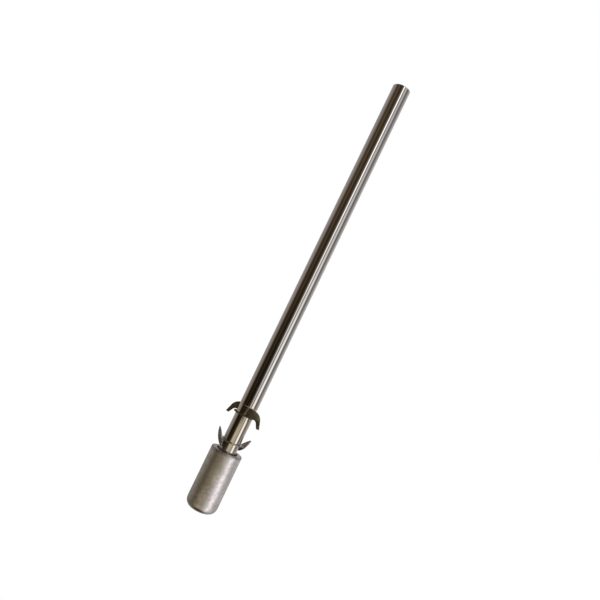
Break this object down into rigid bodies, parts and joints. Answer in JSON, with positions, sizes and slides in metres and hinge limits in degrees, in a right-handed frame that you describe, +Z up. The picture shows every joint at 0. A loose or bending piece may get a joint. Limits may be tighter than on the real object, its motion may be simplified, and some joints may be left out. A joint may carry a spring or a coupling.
{
  "type": "drill paint mixer",
  "caption": "Straight round steel shaft with small stamped two-armed impellers near its end and a free-turning cylindrical foot below them.",
  "frame": {"origin": "on the shaft's axis at the underside of the foot, at the bottom centre of the whole box", "axes": "+Z up along the shaft, from the foot to the shank's free end; +X along the reach of the upper impeller's front arm"},
  "size_m": [0.0242, 0.0204, 0.298],
  "materials": {
    "polished_steel": "polished",
    "heat_dark_steel": "heat-darkened, semi-matt",
    "pressed_steel": "as pressed, semi-matt",
    "satin_steel": "satin, blasted",
    "spring_steel": "oiled black",
    "bearing_steel": "polished",
    "sintered_bronze": "matt, oil-filled",
    "black_rubber": "matt"
  },
  "bodies": {
    "shaft_assembly": {"shaft": "polished_steel", "upper_impeller": "heat_dark_steel", "lower_impeller": "pressed_steel", "retaining_ring": "spring_steel", "thrust_ball": "bearing_steel"},
    "foot_assembly": {"foot_cup": "satin_steel", "shaft_seal": "black_rubber", "upper_bush": "sintered_bronze", "lower_bush": "sintered_bronze", "thrust_pad": "bearing_steel"}
  },
  "joints": [
    {"name": "foot_spin", "type": "hinge", "parent": "shaft_assembly", "child": "foot_assembly", "pos_m": [0, 0, 0.01975], "axis": [0, 0, 1], "continuous": true}
  ]
}
